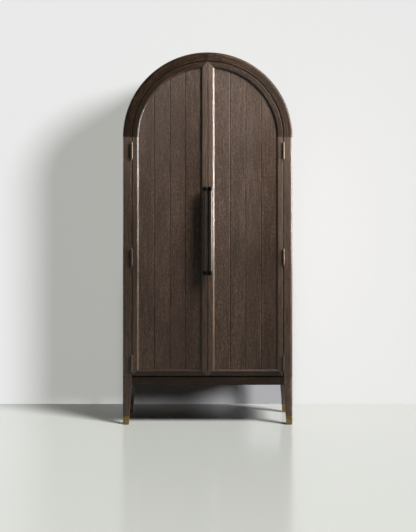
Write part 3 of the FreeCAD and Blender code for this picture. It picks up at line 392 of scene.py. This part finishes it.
sockets = {"Value": turning, "From Min": 0.3, "From Max": 0.7, "To Min": 0.32, "To Max": 0.44}
pull_roughness = add(pulls, "MapRange", sockets)
surface(pulls, {
    "Base Color": pull_colour,
    "Metallic": 1.0,
    "Roughness": pull_roughness,
    "Normal": add(pulls, "Bump", {"Strength": 0.25, "Distance": FINE_RELIEF, "Height": turning}),
})
for side in ("left", "right"):
    finish_node(f"{side}_pull_bar", pulls)
    finish_node(f"{side}_pull_posts", pulls)

# Hinges: leaves pressed from steel, rolled round a pin and bronze-plated, let into both stiles
# and held by countersunk screws of the same finish. The plating is blackened like the pulls and
# slightly cloudy.
PLATING_DARKER, PLATING_LIGHTER = "#51473e", "#75695d"
PLATING_CLOUD = 12 * MM
fittings = empty_material("blackened_bronze_plating")
fitting_place = add(fittings, "TexCoord").outputs["Object"]
sockets = {"Vector": fitting_place, "Scale": 1 / PLATING_CLOUD, "Detail": 5.0}
clouds = add(fittings, "TexNoise", sockets)
sockets = {"Factor": clouds, "A": linear(PLATING_DARKER), "B": linear(PLATING_LIGHTER)}
fitting_colour = add(fittings, "Mix", sockets, data_type="RGBA")
sockets = {"Value": clouds, "From Min": 0.3, "From Max": 0.7, "To Min": 0.32, "To Max": 0.46}
fitting_roughness = add(fittings, "MapRange", sockets)
sockets = {"Base Color": fitting_colour, "Metallic": 1.0, "Roughness": fitting_roughness}
surface(fittings, sockets)
for name in ("case_hinge_leaves", "hinge_pins", "left_door_hinge_leaves", "right_door_hinge_leaves"):
    finish_node(name, fittings)

# Hinge screws: countersunk steel screws, rolled, then stamped with a cross recess in the head and
# plated with the leaves. Their heads lie flush in the two leaves, which nearly touch when shut.
CROSS_CORNERS = 12
SCREW_SIDES = 2 * CROSS_CORNERS
CROSS_REACH, CROSS_HALF_WIDTH, CROSS_DEPTH = 1.9 * MM, 0.45 * MM, 1.1 * MM
# Radius and height of each ring, from the point up to the face of the head.
COUNTERSUNK = np.array([(0.5, -16), (1.6, -14), (1.6, -2), (3.6, 0)]) * MM
SCREW_LENGTH, HEAD_RADIUS = -COUNTERSUNK[0, 1], COUNTERSUNK[-1, 0]
SCREW_SPREAD = 32 * MM
scene = bpy.context.scene


def cross_screws(name, body, centres, across, facing, outline):
    """Screws in one mesh. A ring's points are its radius times the cosine and sine of the turn about
    the axis, at its height. The face is joined to a cross of twelve corners, three to a quarter and
    each quarter turned on by a right angle, whose floor lies deeper. Each screw's points are these
    along its own three directions, from its centre."""
    turn = 2 * math.pi * (np.arange(SCREW_SIDES) - 1) / SCREW_SIDES
    radius, height = outline.T[:, :, None]
    rings = np.stack(np.broadcast_arrays(radius * np.cos(turn), radius * np.sin(turn), height), -1)
    long, short = CROSS_REACH, CROSS_HALF_WIDTH
    quarter = np.array([long - short * 1j, long + short * 1j, short + short * 1j])
    corners = (np.array([1, 1j, -1, -1j])[:, None] * quarter).ravel()
    rim_height = outline[-1, 1]
    crosses = [
        np.stack([corners.real, corners.imag, np.full(CROSS_CORNERS, z)], -1)
        for z in (rim_height, rim_height - CROSS_DEPTH)
    ]
    screw = np.concatenate([rings.reshape(-1, 3), *crosses])
    across, facing = (np.broadcast_to(d, centres.shape) for d in (across, facing))
    directions = np.stack([across, np.cross(facing, across), facing], 1)
    points = centres[:, None] + screw @ directions

    rim = (len(outline) - 1) * SCREW_SIDES
    side, corner = np.arange(SCREW_SIDES), np.arange(CROSS_CORNERS)
    side_after, corner_after = np.roll(side, -1), np.roll(corner, -1)
    cross = rim + SCREW_SIDES + corner
    cross_after = rim + SCREW_SIDES + corner_after
    rim_points = (rim + 2 * corner, rim + 2 * corner + 1, rim + 2 * corner_after)
    band = np.stack([side, side_after, side_after + SCREW_SIDES, side + SCREW_SIDES], -1)
    walls = (cross, cross_after, cross_after + CROSS_CORNERS, cross + CROSS_CORNERS)
    faces = [side[::-1]]
    for ring in range(len(outline) - 1):
        faces += list(band + ring * SCREW_SIDES)
    faces += list(np.stack([cross, *rim_points, cross_after], -1))
    faces += list(np.stack(walls, -1))
    faces.append(cross + CROSS_CORNERS)

    starts = np.arange(len(centres)) * len(screw)
    every_face = [(face + start).tolist() for start in starts for face in faces]
    mesh = bpy.data.meshes.new(name)
    mesh.from_pydata(points.reshape(-1, 3).tolist(), [], every_face)
    mesh.materials.append(fittings)
    piece = bpy.data.objects.new(name, mesh)
    scene.collection.objects.link(piece)
    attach(piece, body)
    return piece


def hinge_screws(body, node, sides):
    """The nine screws of each hinge stile, at three heights of each of three hinges. Each side gives
    the place of the heads' faces and the way that they face."""
    low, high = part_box(node)
    end = SCREW_SPREAD + HEAD_RADIUS
    hinges = np.linspace(low.z + end, high.z - end, 3)
    heights = (hinges[:, None] + SCREW_SPREAD * np.array([-1, 0, 1])).ravel()
    depth = (low.y + high.y) / 2
    centres = np.array([(face, depth, height) for face, _ in sides for height in heights])
    facing = np.array([(way, 0, 0) for _, way in sides for _ in heights])
    piece = cross_screws(f"{body}_cross_screws", body, centres, (0, 1, 0), facing, COUNTERSUNK)
    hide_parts(node)


case_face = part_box("case_hinge_screws")[1].x - SCREW_LENGTH
hinge_screws("case", "case_hinge_screws", ((-case_face, 1), (case_face, -1)))
hinge_screws("left_door", "left_door_hinge_screws", ((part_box("left_door_hinge_screws")[0].x, -1),))
hinge_screws("right_door", "right_door_hinge_screws", ((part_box("right_door_hinge_screws")[1].x, 1),))

# Back panel screws: low round-headed steel screws of the same plating, driven through the plywood
# into the rabbet about every 140 mm, round the arch as well, and each left turned as it came.
PAN_HEAD = np.array([(4.2, -0.5), (4.2, 0.3), (3.7, 1.1), (2.8, 1.6), (2.5, 1.7)]) * MM
SIDE_INSET, FOOT_INSET, LOWEST_RISE, BACK_PITCH = 5.8 * MM, 10 * MM, 36 * MM, 140 * MM
SIDE_SCREWS, FOOT_SCREWS, ARCH_SCREWS = 10, 6, 12
back_low, back_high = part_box("back_panel")
edge, foot = back_high.x - SIDE_INSET, back_low.z + FOOT_INSET
rise = back_low.z + LOWEST_RISE + BACK_PITCH * np.arange(SIDE_SCREWS)
spread = BACK_PITCH * (np.arange(FOOT_SCREWS) - (FOOT_SCREWS - 1) / 2)
turn = np.linspace(0, math.pi, ARCH_SCREWS)
x = np.concatenate([np.full(SIDE_SCREWS, -edge), np.full(SIDE_SCREWS, edge), spread, edge * np.cos(turn)])
z = np.concatenate([rise, rise, np.full(FOOT_SCREWS, foot), ARCH_SPRING + edge * np.sin(turn)])
driven = rng.uniform(0, math.pi, len(x))
centres = np.stack([x, np.full_like(x, back_high.y), z], -1)
across = np.stack([np.cos(driven), np.zeros_like(x), np.sin(driven)], -1)
cross_screws("back_panel_screws", "case", centres, across, (0, 1, 0), PAN_HEAD)

# Catch magnets, strike plates and shelf pins: small turned or pressed steel parts, barrel-plated in
# nickel, zinc and bronze. The tumbling leaves them softly mottled.
PLATING = {  # darker and lighter colour, roughness, and the nodes
    "nickel_plated_steel": ("#b9b7b0", "#d0cec6", 0.22, ("catch_magnets",)),
    "zinc_plated_steel": ("#9a9d9f", "#bcbfc1", 0.34, ("left_door_strikes", "right_door_strikes")),
    "bronze_plated_steel": ("#7a6650", "#9a846a", 0.3, ("shelf_pins",)),
}
MOTTLE, MOTTLE_ROUGHNESS = 3 * MM, 0.06
for finish, (darker, lighter, roughness, plated) in PLATING.items():
    steel = empty_material(finish)
    steel_place = add(steel, "TexCoord").outputs["Object"]
    mottle = add(steel, "TexNoise", {"Vector": steel_place, "Scale": 1 / MOTTLE, "Detail": 2.0})
    sockets = {"Factor": mottle, "A": linear(darker), "B": linear(lighter)}
    steel_colour = add(steel, "Mix", sockets, data_type="RGBA")
    smooth, dull = roughness - MOTTLE_ROUGHNESS, roughness + MOTTLE_ROUGHNESS
    steel_roughness = add(steel, "MapRange", {"Value": mottle, "To Min": smooth, "To Max": dull})
    surface(steel, {"Base Color": steel_colour, "Metallic": 1.0, "Roughness": steel_roughness})
    for name in plated:
        finish_node(name, steel)

# Studio wall and floor: a pale painted wall close behind the cabinet, which shows only from its
# front, and a floor of sealed, pale concrete that mirrors a little at this low angle. The wood
# gets no light from the wall and little from the floor, since in the photograph neither lights it.
WALL_GAP = 280 * MM
FLOOR_REACH, FLOOR_FRONT, WALL_REACH, WALL_HEIGHT = 14.0, 3.6, 7.0, 6.0
WALL_PAINT, FLOOR_COLOUR, FLOOR_TO_WOOD = "#e9e9e9", "#cdcfc9", "#222222"
SEALER_ROUGHNESS, SEALER_IOR = 0.16, 1.3
FLOOR_DEPTH = FLOOR_FRONT + FLOOR_REACH
SQUARE = [(-1, 0), (1, 0), (1, 1), (-1, 1)]
corners = {
    "studio_wall": [(u * WALL_REACH, 0, v * WALL_HEIGHT) for u, v in SQUARE],
    "studio_floor": [(u * FLOOR_REACH, v * FLOOR_DEPTH - FLOOR_FRONT, 0) for u, v in SQUARE],
}


def seen_rays(paint):
    """One for rays from the camera or by way of a mirror or glass, and nought for light on the wood."""
    ray = add(paint, "LightPath").outputs
    seen = add(paint, "Math", {0: ray["Is Camera Ray"], 1: ray["Is Glossy Ray"]}, operation="MAXIMUM")
    return add(paint, "Math", {0: seen, 1: ray["Is Transmission Ray"]}, operation="MAXIMUM")


studio = {}
for name, square in corners.items():
    paint = empty_material(f"{name}_paint")
    seen = seen_rays(paint)
    if name == "studio_wall":
        behind = add(paint, "NewGeometry").outputs["Backfacing"]
        seen = add(paint, "Math", {0: seen, 1: behind}, operation="SUBTRACT", use_clamp=True)
        unseen = add(paint, "BsdfTransparent")
        painted = add(paint, "BsdfDiffuse", {"Color": linear(WALL_PAINT)})
    else:
        unseen = add(paint, "BsdfDiffuse", {"Color": linear(FLOOR_TO_WOOD)})
        sockets = {"Base Color": linear(FLOOR_COLOUR), "Roughness": SEALER_ROUGHNESS, "IOR": SEALER_IOR}
        painted = add(paint, "BsdfPrincipled", sockets)
    shown = add(paint, "MixShader", {0: seen, 1: unseen, 2: painted})
    add(paint, "OutputMaterial", {"Surface": shown})
    mesh = bpy.data.meshes.new(name)
    mesh.from_pydata(square, [], [(0, 1, 2, 3)])
    mesh.materials.append(paint)
    studio[name] = bpy.data.objects.new(name, mesh)
    scene.collection.objects.link(studio[name])
    studio[name]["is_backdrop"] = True
studio["studio_wall"].location.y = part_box("arched_top")[1].y + WALL_GAP

# Studio air: the dark end of the room, a flat grey wherever the camera or a mirror sees past the
# wall, and dim for the wood, so that the lamps alone shape it.
AIR_SEEN, AIR_LIGHT = "#6a6a69", 0.024
world = bpy.data.worlds.new("studio_air")
scene.world = world
world.use_nodes = True
world.node_tree.nodes.clear()
dim = add(world, "Background", {"Color": linear("#ffffff"), "Strength": AIR_LIGHT})
grey = add(world, "Background", {"Color": linear(AIR_SEEN), "Strength": 1.0})
air = add(world, "MixShader", {0: seen_rays(world), 1: dim, 2: grey})
add(world, "OutputWorld", {"Surface": air})

# Lamps: a tall softbox high on the right lights the doors slantwise, and one almost beside them
# rakes over their grain and catches their bevels. Two dim ones fill the left side and the top.
# The wall and the floor have wide suns of their own, which throw the cabinet's shadow on them.
SOFTBOXES = {  # place, the point it faces, width and height, and how bright its face is
    "window_softbox": ((1.3, -1.13, 3.0), (0, -0.2, 1.95), (0.75, 1.7), 21.5),
    "side_softbox": ((2.4, -0.34, 1.9), (0.0, -0.2, 1.6), (0.3, 2.0), 105.0),
    "left_fill": ((-2.6, 0.4, 1.9), (0, 0, 1.2), (1.2, 1.8), 4.0),
    "top_fill": ((0.3, 1.8, 3.7), (0, 0, 2.0), (3.0, 1.2), 7.0),
}
SUNS = {  # turn to the right, height above the horizon, strength, width, colour, and what it lights
    "low_wall_sun": (42, 17, 0.72, 15, "#fafaff", "studio_wall"),
    "high_wall_sun": (0, 56, 0.88, 8, "#fdfff8", "studio_wall"),
    "floor_sun": (48, 47, 1.56, 18, "#ffffff", "studio_floor"),
}


def shine(name, lamp, lit, state):
    """Puts a lamp in the scene that lights only the given planes, or everything but them."""
    holder = bpy.data.objects.new(name, lamp)
    scene.collection.objects.link(holder)
    holder.visible_camera = False
    planes = bpy.data.collections.new(f"{name}_planes")
    for plane in lit:
        planes.objects.link(studio[plane])
    for entry in planes.collection_objects:
        entry.light_linking.link_state = state
    holder.light_linking.receiver_collection = planes
    return holder


for name, (place, faced, size, brightness) in SOFTBOXES.items():
    lamp = bpy.data.lights.new(name, "AREA")
    lamp.shape = "RECTANGLE"
    lamp.size, lamp.size_y = size
    lamp.energy = brightness * math.pi * size[0] * size[1]
    holder = shine(name, lamp, studio, "EXCLUDE")
    holder.location = place
    holder.rotation_euler = (Vector(place) - Vector(faced)).to_track_quat("Z", "Y").to_euler()
for name, (turn, height, strength, width, colour, plane) in SUNS.items():
    lamp = bpy.data.lights.new(name, "SUN")
    lamp.color = linear(colour)[:3]
    lamp.energy = strength * math.pi
    lamp.angle = math.radians(width)
    holder = shine(name, lamp, [plane], "INCLUDE")
    holder.rotation_euler = (math.radians(90 - height), 0, math.radians(turn))

# Camera: level, chest high and well back, with its film dropped so that the feet come into view.
# Its focal length and horizon are measured in the photograph's pixels.
SENSOR, FARTHEST_SEEN = 36.0, 60
PICTURE_HEIGHT_PX, FOCAL_PX, HORIZON_PX = 532, 1264.5, 190
CAMERA_PLACE = (0.002, -7.766, 1.404)
camera_data = bpy.data.cameras.new("photograph_view")
camera_data.sensor_width = SENSOR
camera_data.lens = FOCAL_PX * SENSOR / PICTURE_HEIGHT_PX
camera_data.shift_y = (HORIZON_PX - PICTURE_HEIGHT_PX / 2) / PICTURE_HEIGHT_PX
camera_data.clip_end = FARTHEST_SEEN
camera = bpy.data.objects.new("photograph_view", camera_data)
camera.location = CAMERA_PLACE
camera.rotation_euler = (math.radians(90), 0, 0)
scene.collection.objects.link(camera)
scene.camera = camera
scene.view_settings.view_transform = "Standard"

low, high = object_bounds()
